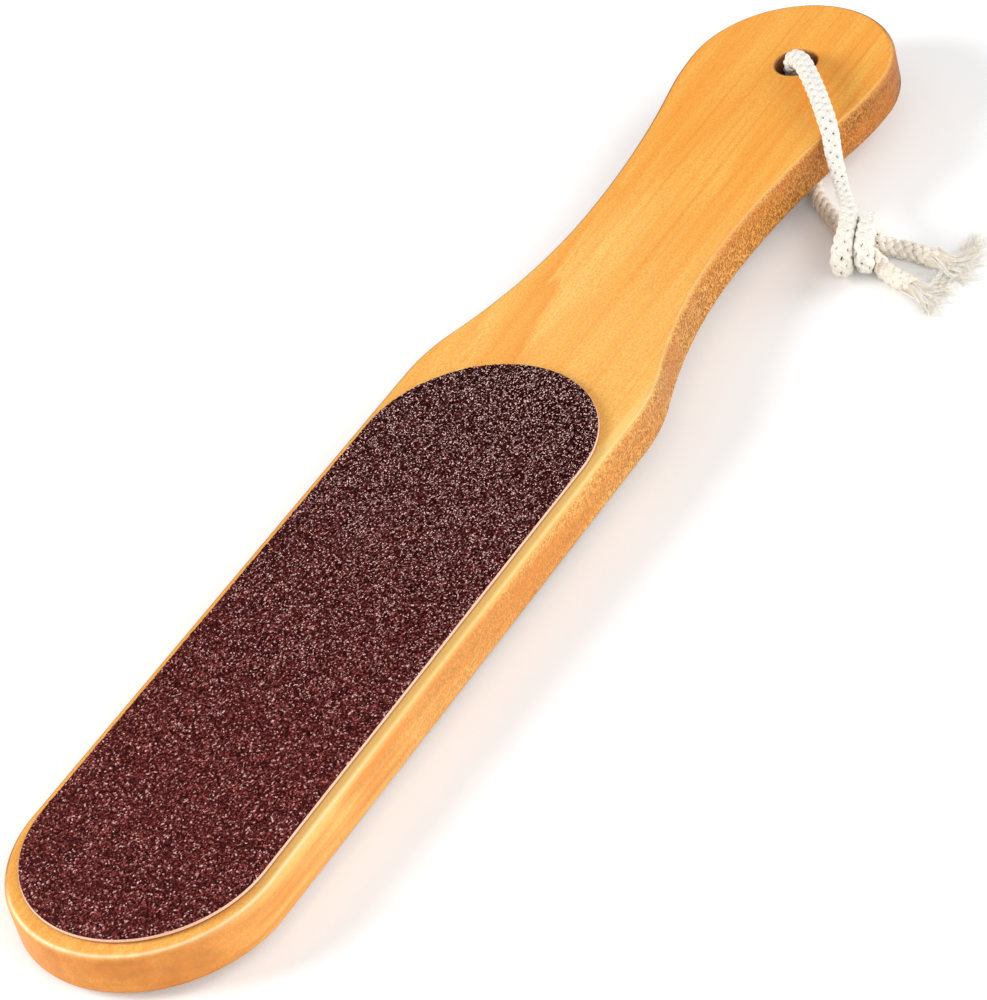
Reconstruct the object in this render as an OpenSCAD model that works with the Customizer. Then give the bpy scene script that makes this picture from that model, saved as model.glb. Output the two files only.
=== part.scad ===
// Foot file: a wooden paddle with an abrasive pad glued to each face and a
// knotted cotton cord through its handle. It lies on its back pad. The cord
// runs under the handle and lifts that end a little.
// Millimetres, +X towards the handle's end, +Z up. The origin is on the
// surface that the file lies on, under the middle of the board.

/* [Board] */
// Length of the wooden board
board_l = 265; // [230:1:300]
// Width of the blade
blade_w = 49; // [45:0.5:56]
// Thickness of the board
board_t = 8.5; // [7:0.1:12]
// Radius that rounds the board's long edges
edge_r = 1.2; // [0.6:0.1:2.5]
// Radius of the shoulders where the blade narrows
shoulder_r = 36; // [24:1:50]
// Width of the neck at its waist
neck_w = 31; // [26:0.5:35]
// Radius of the neck's sides between the shoulder and the waist
neck_blade_r = 110; // [80:1:140]
// Radius of the neck's sides between the waist and the grip
neck_grip_r = 190; // [140:1:230]
// Width of the grip at its round end
grip_w = 41.5; // [38:0.5:46]
// Radius of the grip's bulging sides
grip_side_r = 60; // [40:1:80]

/* [Hanging hole] */
// Diameter of the hole for the cord
hole_d = 8; // [7.6:0.1:9]
// Distance from the handle's end to the middle of the hole
hole_from_end = 19.4; // [15:0.1:24]
// How far the hole lies to the right of the board's middle line
hole_aside = 1.4; // [0:0.1:3]
// Width of the bevel round each mouth of the hole
hole_bevel = 0.5; // [0.3:0.1:1]

/* [Abrasive pads] */
// Length of each pad
pad_l = 146.4; // [130:0.1:155]
// Bare wood between a pad and the blade's sides
pad_side_margin = 2.2; // [1.5:0.1:4]
// Bare wood between a pad and the blade's tip
pad_tip_margin = 3.2; // [2:0.1:6]
// Thickness of the adhesive film under each pad
film_t = 0.15; // [0.1:0.05:0.3]
// Thickness of the pale foam backing
backing_t = 0.7; // [0.4:0.05:1]
// Thickness of the coat of abrasive grains
grit_t = 0.45; // [0.3:0.05:0.6]
// How far the film stops short of the pad's edge
film_inset = 0.5; // [0.2:0.1:1]

/* [Cord] */
// Diameter of the braided cotton cord
cord_d = 3.6; // [3:0.1:3.8]
// Gap between the cord and the handle that lies over it
cord_gap = 0.2; // [0.1:0.05:0.4]
// Distance from the handle's end to where the cord leaves from under it
cord_leaves_from_end = 46; // [40:1:60]
// Radius of the knot's wraps, to the middle of the cord
wrap_r = 2.8; // [2.6:0.1:3.2]
// Length of the straight runs in the knot's wraps
wrap_run = 4.2; // [2:0.1:5]
// Length of the loose yarns at each cord end
fray_l = 9; // [6:0.5:12]
// Width across the loose yarns at each cord end
fray_w = 11; // [8:0.5:13]
// Thickness of the loose yarns where they end
fray_t = 1.4; // [1:0.1:2]

/* [Hidden] */

overrun = 1;
round_fn = 96;
cord_sides = 8;
pad_w = blade_w - 2 * pad_side_margin;
pad_proud = film_t + backing_t + grit_t;

// The handle is lifted until its back clears the cord by cord_gap.
lift_arm = board_l - cord_leaves_from_end - pad_tip_margin;
lie_angle = asin(max(0, cord_d + cord_gap - pad_proud) / lift_arm);

// The board's outline is a chain of tangent arcs, the same on both sides.
// Each of these places is a distance from the blade's tip.
blade_half = blade_w / 2;
neck_half = neck_w / 2;
grip_half = grip_w / 2;
function tangent_run(rise, radii) = sqrt(rise * (2 * radii - rise));
grip_x = board_l - grip_half;
waist_x = grip_x - tangent_run(grip_half - neck_half, neck_grip_r + grip_side_r);
shoulder_x = waist_x - tangent_run(blade_half - neck_half, neck_blade_r + shoulder_r);
shoulder_turn = asin((waist_x - shoulder_x) / (neck_blade_r + shoulder_r));
grip_turn = asin((grip_x - waist_x) / (neck_grip_r + grip_side_r));

// Steps of each arc in the outline, and of the rounded edge
tip_steps = 20;
shoulder_steps = 5;
neck_steps = 7;
side_steps = 5;
end_steps = 18;
edge_steps = 4;

// Points of an arc. Each arc after the first leaves out the point it shares.
function arc(x, y, r, from, to, steps, first = 1) =
    [for (i = [first:steps]) let (a = from + (to - from) * i / steps) [x + r * cos(a), y + r * sin(a)]];

// The outline's left side from tip to end, drawn in by inset
function left_side(inset) = concat(
    arc(blade_half, 0, blade_half - inset, 180, 90, tip_steps, 0),
    arc(shoulder_x, blade_half - shoulder_r, shoulder_r - inset, 90, 90 - shoulder_turn, shoulder_steps, 0),
    arc(waist_x, neck_half + neck_blade_r, neck_blade_r + inset, -90 - shoulder_turn, -90, neck_steps),
    arc(waist_x, neck_half + neck_grip_r, neck_grip_r + inset, -90, -90 + grip_turn, neck_steps),
    arc(grip_x, grip_half - grip_side_r, grip_side_r - inset, 90 + grip_turn, 90, side_steps),
    arc(grip_x, 0, grip_half - inset, 90, 0, end_steps));

// A closed ring of the whole outline at height z
function board_ring(inset, z) = let (side = left_side(inset), last = len(side) - 1) concat(
    [for (p = side) [p.x, p.y, z]],
    [for (i = [last - 1:-1:1]) [side[i].x, -side[i].y, z]]);

// The rings from the back face to the front face, rounded at both edges
edge_bow = [for (i = [0:edge_steps]) 90 * i / edge_steps];
board_rings = concat(
    [for (a = edge_bow) board_ring(edge_r * (1 - sin(a)), edge_r * (1 - cos(a)))],
    [for (a = edge_bow) board_ring(edge_r * (1 - cos(a)), board_t - edge_r * (1 - sin(a)))]);

// The flat faces are strips between the outline's two sides.
module rounded_board() {
    n = len(board_rings[0]);
    top = (len(board_rings) - 1) * n;
    half = n / 2;
    polyhedron(
        points = [for (ring = board_rings) each ring],
        faces = concat(
            [for (i = [0:half - 1]) [n - i - 1, max(1, n - i) % n, i, i + 1]],
            [for (i = [0:half - 1]) [top + i + 1, top + i, top + max(1, n - i) % n, top + n - i - 1]],
            [for (k = [0:len(board_rings) - 2]) each [for (i = [0:n - 1]) let (j = (i + 1) % n)
                [k * n + j, (k + 1) * n + j, (k + 1) * n + i, k * n + i]]]));
}

// Puts what is drawn flat, with the board's back face at z = 0 and its tip
// at x = 0, where it lies on the surface.
module lying() {
    translate([pad_tip_margin - board_l / 2, 0, 0])
        rotate([0, -lie_angle, 0])
            translate([-pad_tip_margin, 0, pad_proud])
                children();
}

// A layer of the pad's shape, drawn in by inset
module pad_layer(thickness, inset = 0) {
    r = pad_w / 2 - inset;
    linear_extrude(height = thickness) {
        translate([pad_tip_margin + pad_w / 2, -r])
            square([pad_l - pad_w, 2 * r]);
        for (x = [pad_tip_margin + pad_w / 2, pad_tip_margin + pad_l - pad_w / 2])
            translate([x, 0]) circle(r = r, $fn = round_fn);
    }
}

// Places a layer of the front pad, or of the back pad, by its distance from the wood
module on_front(out) {
    lying() translate([0, 0, board_t + out]) children();
}
module on_back(out, thickness) {
    lying() translate([0, 0, -out - thickness]) children();
}

module board() {
    color([0.96, 0.68, 0.34]) lying() difference() {
        rounded_board();
        translate([board_l - hole_from_end, -hole_aside, 0]) {
            translate([0, 0, -overrun])
                cylinder(d = hole_d, h = board_t + 2 * overrun, $fn = round_fn);
            translate([0, 0, board_t - hole_bevel])
                cylinder(d1 = hole_d, d2 = hole_d + 2 * (hole_bevel + overrun),
                         h = hole_bevel + overrun, $fn = round_fn);
            translate([0, 0, -overrun])
                cylinder(d1 = hole_d + 2 * (hole_bevel + overrun), d2 = hole_d,
                         h = hole_bevel + overrun, $fn = round_fn);
        }
    }
}

module front_film() {
    color([0.93, 0.9, 0.82]) on_front(0) pad_layer(film_t, film_inset);
}
module front_backing() {
    color([0.98, 0.92, 0.82]) on_front(film_t) pad_layer(backing_t);
}
module front_grit() {
    color([0.33, 0.17, 0.17]) on_front(film_t + backing_t) pad_layer(grit_t);
}
module back_film() {
    color([0.93, 0.9, 0.82]) on_back(0, film_t) pad_layer(film_t, film_inset);
}
module back_backing() {
    color([0.98, 0.92, 0.82]) on_back(film_t, backing_t) pad_layer(backing_t);
}
module back_grit() {
    color([0.3, 0.16, 0.16]) on_back(film_t + backing_t, grit_t) pad_layer(grit_t);
}

// The cord's route in four stretches. Over and under start at the same place
// inside the hole, and both end inside the knot.
over_route = [
    [113.9, 0.3, 8.3], [113.9, 0.3, 9.3], [113.6, -0.1, 11.1], [112.9, -1, 13], [111.9, -2.5, 14.3],
    [110.2, -4.6, 15], [106.8, -7.9, 15.1], [102.3, -11.9, 15], [97.8, -15.6, 14.8],
    [94.4, -18.3, 14.4], [92.3, -19.9, 13.1], [90.4, -21, 11.1], [88.2, -22.6, 8.9], [85.6, -24.5, 7.5],
    [82.5, -26.9, 7.1], [78.4, -29.8, 7.6], [75.5, -31.9, 7.4]];
under_route = [
    [113.9, 0.3, 8.3], [113.9, 0.3, 7.3], [113.5, 0, 5.6], [112.5, -0.7, 3.7], [111, -1.4, 2.4],
    [108.6, -2.8, 1.8], [103.4, -6, 1.8], [98.2, -9.4, 1.8], [93.2, -13.2, 1.8], [89.8, -15.6, 1.8],
    [86.9, -18.2, 1.8], [84.3, -21.1, 1.8], [81.8, -24.1, 1.8], [79.3, -27.2, 1.8], [77.3, -30.8, 1.8]];
grip_tail_route = [
    [77.1, -34.6, 4.2], [77.1, -36.3, 3], [77.2, -38.8, 1.8], [77.1, -41.6, 1.8], [76.6, -45.2, 1.8],
    [75.9, -48.6, 1.8]];
blade_tail_route = [
    [72.9, -34.6, 3.7], [72.3, -37.4, 2.7], [70.9, -39.9, 1.8], [69.4, -42.6, 1.8], [68.3, -45.2, 1.8],
    [67.4, -47.6, 1.8]];
// Which way each bunch of loose yarns spreads, seen from above
grip_fray_heading = -54;
blade_fray_heading = -87;
knot_at = [73.3, -33.8];
knot_heading = 21;
knot_lean = 9;

function unit(v) = v / norm(v);
function directions(route) = [for (i = [0:len(route) - 1])
    unit(route[min(i + 1, len(route) - 1)] - route[max(i - 1, 0)])];
// The side vector of each ring, carried along the route without twist
function square_to(v, dir) = unit(v - (v * dir) * dir);
function carried(dirs, side, i = 0) = i == len(dirs) ? [] :
    let (s = square_to(side, dirs[i])) concat([s], carried(dirs, s, i + 1));

// A tube along a route. Each ring has its own half width and half height.
module swept(route, widths, heights, side) {
    dirs = directions(route);
    sides = carried(dirs, side);
    n = cord_sides;
    last = (len(route) - 1) * n;
    polyhedron(
        points = [for (i = [0:len(route) - 1]) let (up = cross(dirs[i], sides[i]))
            each [for (k = [0:n - 1]) let (a = 360 * k / n)
                route[i] + widths[i] * cos(a) * sides[i] + heights[i] * sin(a) * up]],
        faces = concat(
            [[for (k = [0:n - 1]) k]],
            [[for (k = [n - 1:-1:0]) last + k]],
            [for (i = [0:len(route) - 2]) each [for (k = [0:n - 1]) each let (j = (k + 1) % n)
                [[i * n + k, (i + 1) * n + k, (i + 1) * n + j], [i * n + k, (i + 1) * n + j, i * n + j]]]]));
}

module cord(route, side = [0.6, -0.8, 0]) {
    radii = [for (p = route) cord_d / 2];
    color([0.95, 0.92, 0.86]) swept(route, radii, radii, side);
}

module cord_over() { cord(over_route); }
module cord_under() { cord(under_route); }
module tail_grip_side() { cord(grip_tail_route, [1, 0, 0]); }
module tail_blade_side() { cord(blade_tail_route, [1, 0, 0]); }

// The knot is two leaning wraps side by side over a flat core.
wrap_apart_share = 0.51;
core_share = 0.8;
// One turn of cord with straight runs above and below
module wrap() {
    for (end = [0, 180])
        rotate([90, 0, end])
            translate([wrap_run / 2, 0, 0]) {
                rotate([0, 0, -90]) rotate_extrude(angle = 180, $fn = round_fn)
                    translate([wrap_r, 0]) circle(d = cord_d, $fn = 32);
                translate([0, wrap_r, 0]) rotate([0, -90, 0])
                    cylinder(d = cord_d, h = wrap_run, $fn = 32);
            }
}
module cord_knot() {
    color([0.95, 0.92, 0.86])
        translate([knot_at.x, knot_at.y, wrap_r + cord_d / 2])
            rotate([knot_lean, 0, knot_heading]) {
                for (way = [-1, 1])
                    translate([0, way * wrap_apart_share * cord_d, 0]) wrap();
                rotate([90, 0, 0])
                    translate([0, 0, -core_share * cord_d])
                        linear_extrude(height = 2 * core_share * cord_d) {
                            square([wrap_run, 2 * wrap_r], center = true);
                            for (way = [-1, 1])
                                translate([way * wrap_run / 2, 0]) circle(r = wrap_r, $fn = round_fn);
                        }
            }
}

// Loose yarns fan out over the surface from the end of a tail, first along
// the tail and then along a heading of their own.
fray_run_shares = [0, 0.12, 0.5, 0.88];
fray_spread_shares = [0, 0.1, 0.6, 1];
fray_thin_shares = [0, 0, 0.5, 1];
module fray(tail, heading) {
    start = tail[len(tail) - 1];
    onward = unit(start - tail[len(tail) - 2]);
    along = [cos(heading), sin(heading), 0];
    widths = [for (s = fray_spread_shares) (cord_d + (fray_w - cord_d) * s) / 2];
    heights = [for (s = fray_thin_shares) (cord_d + (fray_t - cord_d) * s) / 2];
    turn = fray_run_shares[1] * fray_l;
    route = [for (i = [0:len(fray_run_shares) - 1]) let (run = fray_run_shares[i] * fray_l)
        [start.x, start.y, heights[i]] + min(run, turn) * onward + max(0, run - turn) * along];
    color([0.95, 0.92, 0.86]) swept(route, widths, heights, [-along.y, along.x, 0]);
}
module fray_grip_side() { fray(grip_tail_route, grip_fray_heading); }
module fray_blade_side() { fray(blade_tail_route, blade_fray_heading); }

board();
front_film();
front_backing();
front_grit();
back_film();
back_backing();
back_grit();
cord_over();
cord_under();
cord_knot();
tail_grip_side();
tail_blade_side();
fray_grip_side();
fray_blade_side();
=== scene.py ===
import math

import bpy
import numpy as np
from mathutils import Matrix, Vector, geometry


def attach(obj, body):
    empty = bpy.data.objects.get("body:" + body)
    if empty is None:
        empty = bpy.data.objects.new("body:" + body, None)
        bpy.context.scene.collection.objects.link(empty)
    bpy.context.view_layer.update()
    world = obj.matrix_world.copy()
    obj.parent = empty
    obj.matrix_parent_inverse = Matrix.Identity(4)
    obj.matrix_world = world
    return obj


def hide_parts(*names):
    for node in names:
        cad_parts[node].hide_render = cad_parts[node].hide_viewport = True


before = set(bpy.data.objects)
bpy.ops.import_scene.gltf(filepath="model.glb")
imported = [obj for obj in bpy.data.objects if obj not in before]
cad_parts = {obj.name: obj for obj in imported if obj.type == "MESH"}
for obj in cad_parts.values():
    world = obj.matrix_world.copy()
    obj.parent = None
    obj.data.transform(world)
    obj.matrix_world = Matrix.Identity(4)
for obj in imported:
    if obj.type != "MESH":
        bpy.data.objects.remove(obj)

# A foot file: a varnished wooden paddle with a grit pad glued to each face
# and a knotted cotton cord through its handle. Sizes are in millimetres and
# turn into metres where a mesh is made. The board's own frame has x from the
# blade's tip, y to the left and z from the wood's back face. In the scene's
# frame, which the cord and the materials use, x is 0 at the board's middle.
MM = 0.001
TAU = 2 * math.pi
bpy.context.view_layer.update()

# Board
BOARD_L = 265.0
BLADE_W = 49.0
BOARD_T = 8.5
EDGE_R = 1.2
SHOULDER_R = 36.0
NECK_W = 31.0
NECK_BLADE_R = 110.0
NECK_GRIP_R = 190.0
GRIP_W = 41.5
GRIP_SIDE_R = 60.0
HOLE_D = 8.0
HOLE_FROM_END = 19.4
HOLE_ASIDE = 1.4
HOLE_MOUTH_R = 0.5

# Pads
PAD_L = 146.4
PAD_SIDE_MARGIN = 2.2
PAD_TIP_MARGIN = 3.2
FILM_T = 0.15
BACKING_T = 0.7
GRIT_T = 0.45
PAD_PROUD = FILM_T + BACKING_T + GRIT_T
PAD_W = BLADE_W - 2 * PAD_SIDE_MARGIN

# How the file lies: on its back pad, its handle lifted by the cord under it
CORD_D = 3.6
CORD_GAP = 0.2
CORD_LEAVES_FROM_END = 46.0
LIFT_ARM = BOARD_L - CORD_LEAVES_FROM_END - PAD_TIP_MARGIN
LIE_ANGLE = math.asin((CORD_D + CORD_GAP - PAD_PROUD) / LIFT_ARM)

# The cord's route, from the middle of the hole into the knot and out as tails, in
# the scene's frame
HOLE_MIDDLE = (113.9, 0.3, 8.3)
OVER_ROUTE = [
    HOLE_MIDDLE, (113.9, 0.3, 9.3), (113.6, -0.1, 11.1), (112.9, -1, 13), (111.9, -2.5, 14.3),
    (110.2, -4.6, 15), (106.8, -7.9, 15.1), (102.3, -11.9, 15), (97.8, -15.6, 14.8),
    (94.4, -18.3, 14.4), (92.3, -19.9, 13.1), (90.4, -21, 11.1), (88.2, -22.6, 8.9),
    (85.6, -24.5, 7.5), (82.5, -26.9, 7.1), (78.4, -29.8, 7.6)]
UNDER_ROUTE = [
    HOLE_MIDDLE, (113.9, 0.3, 7.3), (113.5, 0, 5.6), (112.5, -0.7, 3.7), (111, -1.4, 2.4),
    (108.6, -2.8, 1.8), (103.4, -6, 1.8), (98.2, -9.4, 1.8), (93.2, -13.2, 1.8),
    (89.8, -15.6, 1.8), (86.9, -18.2, 1.8), (84.3, -21.1, 1.8), (81.8, -24.1, 1.8),
    (79.3, -27.2, 1.8), (77.3, -30.8, 1.8)]
GRIP_TAIL_ROUTE = [
    (77.1, -36.3, 3), (77.2, -38.8, 1.8), (77.1, -41.6, 1.8), (76.6, -45.2, 1.8),
    (75.9, -48.6, 1.8)]
BLADE_TAIL_ROUTE = [
    (72.9, -34.6, 3.7), (72.3, -37.4, 2.7), (70.9, -39.9, 1.8), (69.4, -42.6, 1.8),
    (68.3, -45.2, 1.8), (67.4, -47.6, 1.8)]

# The knot: each stretch of cord winds once round both tails, the two windings
# side by side and leaning. The cord that comes over the grip leaves it as the
# tail on the blade's side.
KNOT_AT = (73.3, -33.8)
KNOT_HEADING = math.radians(27)
WRAP_R = 2.8
WRAP_RUN = 4.2
WRAP_APART = 3.8
WRAP_BOW = 0.5
WRAP_BOW_TURN = 0.3
WRAP_SQUARENESS = 1.3
OVER_WRAP = {"side": 1, "lean": 0.2, "turn_in": 0.12, "start": 78, "end": 270, "steps": 12}
UNDER_WRAP = {"side": -1, "lean": 0.1, "turn_in": 0.05, "start": 290, "end": 45, "steps": 14}
INTO_GRIP_TAIL = [(78.6, -34.5, 5.4)]
INTO_BLADE_TAIL = [(73.9, -31.9, 2.5), (74.2, -33.2, 3.4)]

# How thick each stretch of cord is pulled or pressed, as stops of distance along
# it and share of its diameter
OVER_WIDTHS = [(0, 1.06), (30, 1.06), (37, 0.96), (44, 0.84), (50, 0.84), (56, 1.1), (66, 1.18),
               (74, 1.08), (80, 0.98), (86, 1.06), (92, 1.08), (94, 0.8)]
UNDER_WIDTHS = [(0, 1), (46, 0.96), (54, 1), (62, 1.08), (74, 1.08), (80, 0.98), (86, 1.06),
                (92, 1.08), (94, 0.8)]

# Share of their full width that the strands keep, less where the cord is pulled straight
OVER_FILL = [(0, 0.92), (46, 0.92), (54, 1)]
UNDER_FILL = [(0, 1), (94, 1)]

# How dingy each stretch of cord is painted: darker with painted shade on the under stretch beneath the
# grip, and dingier on the knot and tails
OVER_SOIL = [(50, 0), (60, 0.35), (76, 0.5), (84, 0.9)]
UNDER_SOIL_AND_SHADE = [(0, 0.6), (50, 0.8), (62, 0.3), (72, 0.1), (84, 0.8)]

# Braid of the cord: four strands each way round, over one and under one. Their width
# wavers in waves of a share and a length.
BRAID_PITCH = 8.8
STRANDS_EACH_WAY = 4
STRAND_R = 1.2
STRAND_WEAVE = 0.2
STRAND_HALF_W = 0.66
STRAND_HALF_T = 0.4
STRAND_WAVES = [(0.12, 1.3), (0.08, 0.55)]
STRAND_SIDES = 12
CORE_R = 0.85
CORE_SIDES = 10
CORD_STEP = 0.25
SPLINE_STEPS = 24
OVER_SEED = 3
UNDER_SEED = 4

# The seam in the knot gets painted shade where the other cord's middle is nearer than the first
# distance, and is no darker than the braid from the second one on
SEAM_GAPS = (1.75, 2.3)
SEAM_DEPTHS = (0.2, 1.2)

# Loose yarns at the cord's ends: the heading and reach of each clump of fibres
GRIP_CLUMPS = [(-6, 11.6), (-16, 10.2), (-32, 10.4), (-47, 9.2), (-62, 8.6), (-84, 7.2),
               (-99, 8.2), (-112, 8.8)]
BLADE_CLUMPS = [(-19, 8.8), (-34, 6.8), (-55, 6.4), (-76, 7.6), (-97, 7.2), (-112, 7.6),
                (-125, 9.8)]
GRIP_YARN_SEED = 5
BLADE_YARN_SEED = 8
ANY_TURN = (0, 6.3)

# A clump starts inside the cord's end, at its own side and height, turns to its heading,
# sways and settles. A pair gives the least and the most.
CLUMP_STEPS = 20
CLUMP_INSIDE = 1.6
CLUMP_ASIDE = 0.85
CLUMP_RISE = (-0.3, 0.8)
CLUMP_TURN_SPEED = 2.4
CLUMP_SWAY = (0.35, 0.75)
CLUMP_SWAY_RATE = (6, 9)
CLUMP_HEIGHT = (0.5, 1.1)
CLUMP_RIPPLE = 0.35
CLUMP_RIPPLE_RATE = 5

# Its fibres start on a shell round the cord's end, twist about the clump and flare at the tip
CLUMP_FIBRES = 26
FIBRE_SHELL = 1.1
FIBRE_SHELL_RISE = 0.8
FIBRE_FAR = (0.02, 1)
FIBRE_SPREAD = 0.42
FIBRE_RIPPLE = 0.06
FIBRE_RIPPLE_RATE = 9
FIBRE_FLARE = (0.2, 0.9)
FIBRE_TWIST = (2.2, 3.4)
FIBRE_FLATNESS = 0.7
FIBRE_WAVE = (0.08, 0.24)
FIBRE_WAVE_RATE = 16
FIBRE_LENGTH = (0.78, 1.0)
FIBRE_R = 0.13
FIBRE_THICKNESS = (0.8, 1.25)
FIBRE_TAPER = 0.7
FIBRE_SIDES = 5

# Fine hairs part from each fibre and stray, less so upwards
FIBRE_HAIRS = 2
HAIR_STRAY = (0.5, 0.5, 0.25)
HAIR_BEND = 0.7
HAIR_LENGTH = (0.8, 2.2)
HAIR_STEPS = 7
HAIR_R = 0.045
HAIR_TAPER = 0.5
HAIR_SIDES = 4

# No cotton lies nearer to the floor than this
FLOOR_GAP = 0.02

# No line of cotton starts in this direction
NOT_ALONG = (0.3, 0.2, 0.9)

# The wood's figure: where the middle growth ring ends, how round its end is, and how
# many millimetres of rings the colours span
TONGUE_X = 21.5
TONGUE_Y = 5.0
TONGUE_R = 5.0
RINGS_SPAN = 26.0

# The board's rounded edges. The front face's rim has a painted highlight line on the side that this
# heading points to, sharper towards the handle's end, and painted shade on the other side.
NEAR_SIDE = (-0.76, -0.65)
NEAR_SHARPNESS = 2.5
NEAR_SHARE = 0.6
RIM_SHARPNESS = [(0, 5), (150, 8), (BOARD_L, 12)]
RIM_FACEWARD = 1.75
RIM_SHADE = 0.75
RIM_SHADE_AT = 56
RIM_SHADE_SPREAD = 13
# Painted shade along the back face's edge and inside the hole
BACK_EDGE_SHADE = 0.5
MOUTH_SHADE = 0.7
ARC_STEP = 0.9
BEVEL_RINGS = 15
HOLE_SIDES = 96
MOUTH_RINGS = 7

# The grit: each side's slot, the size of its facets, how even its tone gets at the tip,
# the spacing and least height of its grains, and the seed of their scatter
GRITS = {"front": ("coarse_grit", 0.28, 0.2, 0.31, 0.1, 11),
         "back": ("fine_grit", 0.22, 0.35, 0.29, 0.26, 12)}

# How far the grit stops inside the pad's edge, the distance of its rows and the scatter of its
# grains as shares of their spacing, and the share of a grain's height that goes with its tone, which is
# painted lighter on high grains and darker on low ones as painted light and shade
GRIT_INSET = 0.12
GRAIN_ROW = 0.866
GRAIN_JITTER = 0.3
GRAIN_SHARE = 0.65

# The backing's cut edge from its bottom up: share of the height, bulge, and glue on it, painted dark
# brown as shade in the seam above the film
BACKING_EDGE = [(0, -0.06, 1), (0.2, 0, 1), (0.45, 0.03, 0), (0.88, 0, 0), (1, -0.06, 0)]
BACKING_STEPS = 64

# Camera, on the photograph's line of sight
CAMERA_AT = (-472.1, -404.5, 472.3)
CAMERA_AIM = (-5.5, -1.2, 0)
CAMERA_ROLL = math.radians(-15.65)
CAMERA_LENS = 159.5
CAMERA_SEES_FROM = 0.01
CAMERA_SEES_TO = 20

# Floor, world and lamps. A lamp has its place in metres, its size and its power, and
# shines at the scene's middle. The floor glows faintly for the camera, more far away.
FLOOR_HALF = 3000
FLOOR_GLOW_AT = (400, 1600)
FLOOR_GLOW = (0.12, 0.65)
WORLD_LIGHT = 0.37
LAMPS = [
    ("left", (-0.5, 0.85, 0.465), 0.6, 11.3),
    ("key", (-0.41, -0.94, 0.41), 0.9, 7.1),
    ("side", (0.7, -0.7, 0.466), 0.9, 5.9)]


def linear(red, green, blue):
    """A colour written as 0 to 255 screen values, as the shader's linear values."""
    return tuple(((c / 255 + 0.055) / 1.055) ** 2.4 if c > 10 else c / 255 / 12.92
                 for c in (red, green, blue))


# Camera
def make_camera():
    data = bpy.data.cameras.new("camera")
    data.lens = CAMERA_LENS
    data.clip_start = CAMERA_SEES_FROM
    data.clip_end = CAMERA_SEES_TO
    camera = bpy.data.objects.new("camera", data)
    bpy.context.scene.collection.objects.link(camera)
    at = Vector(CAMERA_AT) * MM
    facing = (Vector(CAMERA_AIM) * MM - at).to_track_quat("-Z", "Y")
    turned = facing.to_matrix().to_4x4() @ Matrix.Rotation(CAMERA_ROLL, 4, "Z")
    camera.matrix_world = Matrix.Translation(at) @ turned
    bpy.context.scene.camera = camera


# Helpers for meshes
def mesh_object(name, points, faces, material, smooth=True):
    """A mesh piece from points in millimetres."""
    mesh = bpy.data.meshes.new(name)
    points = [tuple(p) for p in np.asarray(points, float) * MM]
    mesh.from_pydata(points, [], [tuple(f) for f in faces])
    mesh.polygons.foreach_set("use_smooth", [smooth] * len(mesh.polygons))
    mesh.materials.append(material)
    mesh.update()
    piece = bpy.data.objects.new(name, mesh)
    bpy.context.scene.collection.objects.link(piece)
    return piece


def point_values(piece, name, values):
    """Writes one number per point, which the piece's material reads by name."""
    attribute = piece.data.attributes.new(name, "FLOAT", "POINT")
    attribute.data.foreach_set("value", np.asarray(values, np.float32))


def lying(points):
    """Points of the board's frame, where the file lies on the floor."""
    p = np.asarray(points, float)
    x, z = p[:, 0] - PAD_TIP_MARGIN, p[:, 2] + PAD_PROUD
    cos, sin = math.cos(LIE_ANGLE), math.sin(LIE_ANGLE)
    return np.stack([x * cos - z * sin + PAD_TIP_MARGIN - BOARD_L / 2, p[:, 1], x * sin + z * cos], 1)


def ring_faces(rings, sides, closed_ends=False):
    """Quads between neighbouring rings of points, and end caps if asked."""
    faces = []
    for i in range(rings - 1):
        for k in range(sides):
            j = (k + 1) % sides
            faces.append((i * sides + k, i * sides + j, (i + 1) * sides + j, (i + 1) * sides + k))
    if closed_ends:
        last = (rings - 1) * sides
        faces.append(tuple(range(sides - 1, -1, -1)))
        faces.append(tuple(last + k for k in range(sides)))
    return faces


# Helpers for cords
def through(points, step):
    """Points a step apart on a smooth curve through the given points, a centripetal spline."""
    p = np.asarray(points, float)
    p = np.vstack([2 * p[0] - p[1], p, 2 * p[-1] - p[-2]])
    knots = np.concatenate([[0], np.cumsum(np.linalg.norm(np.diff(p, axis=0), axis=1) ** 0.5)])
    pieces = []
    for i in range(1, len(p) - 2):
        t0, t1, t2, t3 = knots[i - 1:i + 3]
        t = np.linspace(t1, t2, SPLINE_STEPS, endpoint=False)[:, None]
        a1 = ((t1 - t) * p[i - 1] + (t - t0) * p[i]) / (t1 - t0)
        a2 = ((t2 - t) * p[i] + (t - t1) * p[i + 1]) / (t2 - t1)
        a3 = ((t3 - t) * p[i + 1] + (t - t2) * p[i + 2]) / (t3 - t2)
        b1 = ((t2 - t) * a1 + (t - t0) * a2) / (t2 - t0)
        b2 = ((t3 - t) * a2 + (t - t1) * a3) / (t3 - t1)
        pieces.append(((t2 - t) * b1 + (t - t1) * b2) / (t2 - t1))
    line = np.vstack([*pieces, p[-2]])
    along = np.concatenate([[0], np.cumsum(np.linalg.norm(np.diff(line, axis=0), axis=1))])
    at = np.linspace(0, along[-1], int(round(along[-1] / step)) + 1)
    return np.stack([np.interp(at, along, line[:, k]) for k in range(3)], 1)


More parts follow.
